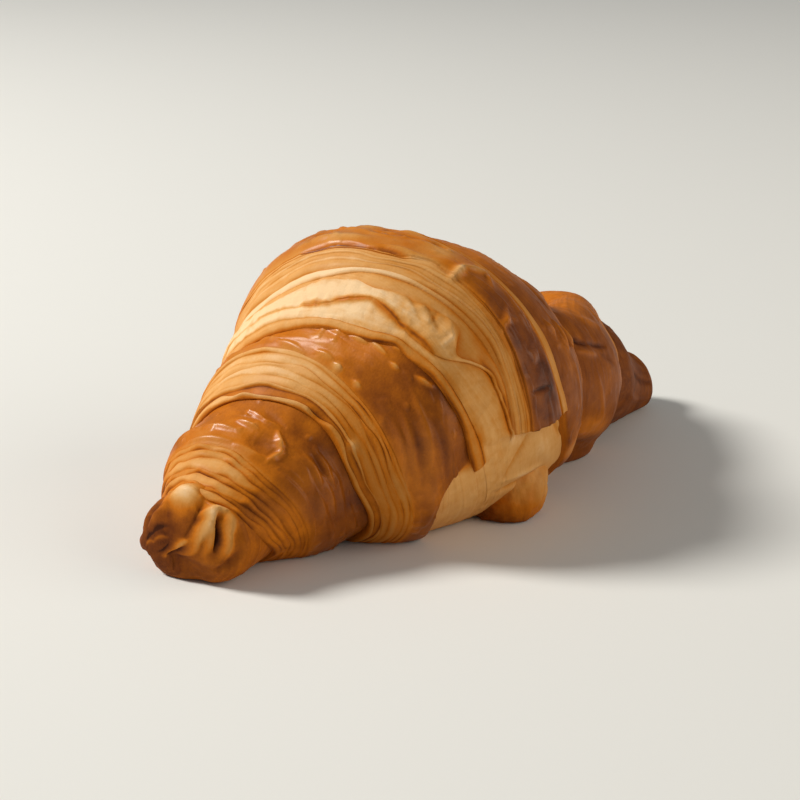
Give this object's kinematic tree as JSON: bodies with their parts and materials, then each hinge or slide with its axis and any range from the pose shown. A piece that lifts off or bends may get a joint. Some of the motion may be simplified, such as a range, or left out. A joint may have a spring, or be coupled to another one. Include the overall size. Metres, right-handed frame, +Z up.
{
  "type": "butter croissant",
  "caption": "Baked butter croissant: a bowed row of overlapping rolls of layered dough with a tongue on the front, pinched near tip and round far tip.",
  "frame": {"origin": "under the middle of the croissant's box, on the surface that it stands on", "axes": "+X along the croissant from the pinched near tip to the far tip, +Y to the back, +Z up; the tongue's end is on the front, at -Y"},
  "size_m": [0.1566, 0.0798, 0.0625],
  "materials": {
    "crust": null
  },
  "bodies": {
    "root": {"croissant": "crust"}
  },
  "joints": []
}
